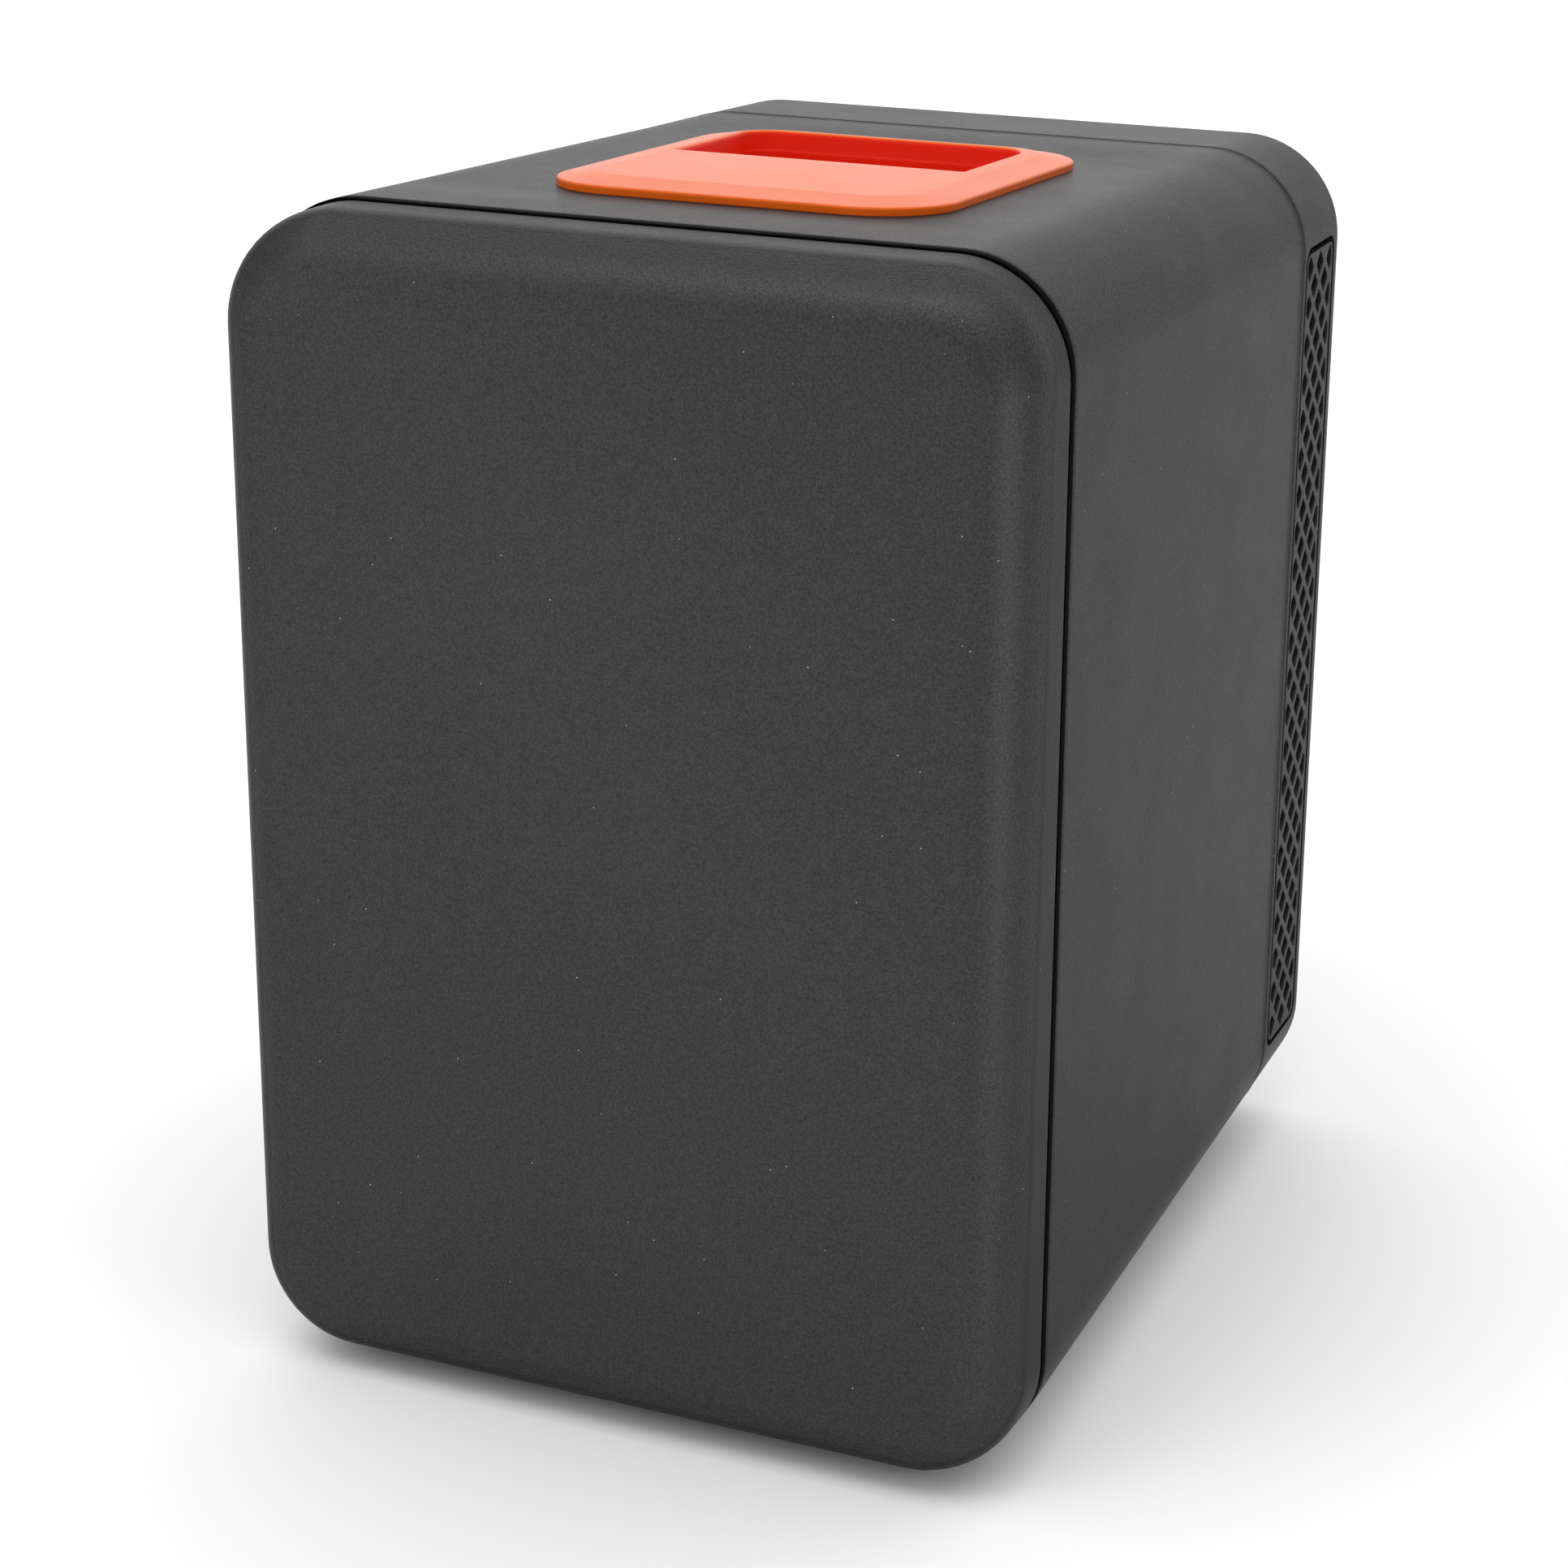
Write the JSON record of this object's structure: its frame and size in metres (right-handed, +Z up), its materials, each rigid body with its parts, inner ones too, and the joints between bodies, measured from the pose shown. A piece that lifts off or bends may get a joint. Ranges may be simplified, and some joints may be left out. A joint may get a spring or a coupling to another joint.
{
  "type": "mini fridge",
  "caption": "Boxy thermoelectric mini fridge with rounded corners, a full-height side-hinged door, a recessed carrying handle on top and side air vents at the rear.",
  "frame": {"origin": "on the ground under the middle of the object's width and depth", "axes": "+Z up, -Y out of the door, +X to the right of someone who faces the door"},
  "size_m": [0.24, 0.305, 0.3445],
  "materials": {
    "charcoal_plastic": "fine textured matt charcoal ABS",
    "black_plastic": "matt black",
    "orange_plastic": "satin orange",
    "pale_plastic": "satin pale grey",
    "clear_plastic": "clear, faintly blue",
    "foam": "rigid foam",
    "rubber": "matt black rubber",
    "aluminium": "extruded",
    "steel": "zinc plated",
    "ceramic": "white alumina",
    "circuit_board": "solder mask green",
    "green_lens": "green diffuser",
    "red_lens": "red diffuser"
  },
  "bodies": {
    "cabinet": {"outer_shell": "charcoal_plastic", "front_frame": "black_plastic", "inner_liner": "pale_plastic", "insulation_foam": "foam", "rear_bulkhead": "black_plastic", "rear_cover": "charcoal_plastic", "rear_grille": "charcoal_plastic", "inlet_panel": "charcoal_plastic", "side_vent_right": "charcoal_plastic", "side_vent_left": "charcoal_plastic", "handle_insert": "orange_plastic", "cold_heat_sink": "aluminium", "cold_block": "aluminium", "peltier_module": "ceramic", "hot_heat_sink": "aluminium", "rear_fan_frame": "black_plastic", "inner_fan_frame": "black_plastic", "inner_fan_cover": "pale_plastic", "ac_inlet": "black_plastic", "ac_pin_left": "steel", "ac_pin_right": "steel", "dc_inlet": "black_plastic", "dc_inlet_pin": "steel", "switch_bezel": "black_plastic", "cool_indicator": "green_lens", "warm_indicator": "red_lens", "power_board": "circuit_board", "transformer": "steel", "regulator_sink": "aluminium", "capacitor": "black_plastic", "foot_front_left": "rubber", "foot_front_right": "rubber", "foot_rear_left": "rubber", "foot_rear_right": "rubber", "rear_screw_1": "steel", "rear_screw_2": "steel", "rear_screw_3": "steel", "rear_screw_4": "steel", "body_knuckle_lower": "black_plastic", "hinge_pin_lower": "steel", "body_knuckle_upper": "black_plastic", "hinge_pin_upper": "steel"},
    "door": {"door_outer_shell": "charcoal_plastic", "door_inner_liner": "pale_plastic", "door_foam": "foam", "door_gasket": "rubber", "door_knuckle_lower": "black_plastic", "door_knuckle_upper": "black_plastic"},
    "lower_rack": {"door_rack_lower": "clear_plastic"},
    "upper_rack": {"door_rack_upper": "clear_plastic"},
    "pull_shelf": {"shelf": "clear_plastic"},
    "rear_rotor": {"rear_fan_rotor": "black_plastic"},
    "inner_rotor": {"inner_fan_rotor": "black_plastic"},
    "rocker": {"mode_rocker": "black_plastic"}
  },
  "joints": [
    {"name": "door_hinge", "type": "hinge", "parent": "cabinet", "child": "door", "pos_m": [-0.1164, -0.12245, 0.174], "axis": [0, 0, -1], "range_deg": [0, 90]},
    {"name": "shelf_slide", "type": "slide", "parent": "cabinet", "child": "pull_shelf", "axis": [0, -1, 0], "range_m": [0, 0.04]},
    {"name": "lower_rack_lift", "type": "slide", "parent": "door", "child": "lower_rack", "axis": [0, 0, 1], "range_m": [0, 0.008]},
    {"name": "upper_rack_lift", "type": "slide", "parent": "door", "child": "upper_rack", "axis": [0, 0, 1], "range_m": [0, 0.008]},
    {"name": "rear_fan_spin", "type": "hinge", "parent": "cabinet", "child": "rear_rotor", "pos_m": [0, 0.1155, 0.204], "axis": [0, 1, 0], "continuous": true},
    {"name": "inner_fan_spin", "type": "hinge", "parent": "cabinet", "child": "inner_rotor", "pos_m": [0, 0.0285, 0.204], "axis": [0, 1, 0], "continuous": true},
    {"name": "mode_rocker_tilt", "type": "hinge", "parent": "cabinet", "child": "rocker", "pos_m": [0, 0.1477, 0.062], "axis": [1, 0, 0], "range_deg": [-9, 9]}
  ]
}
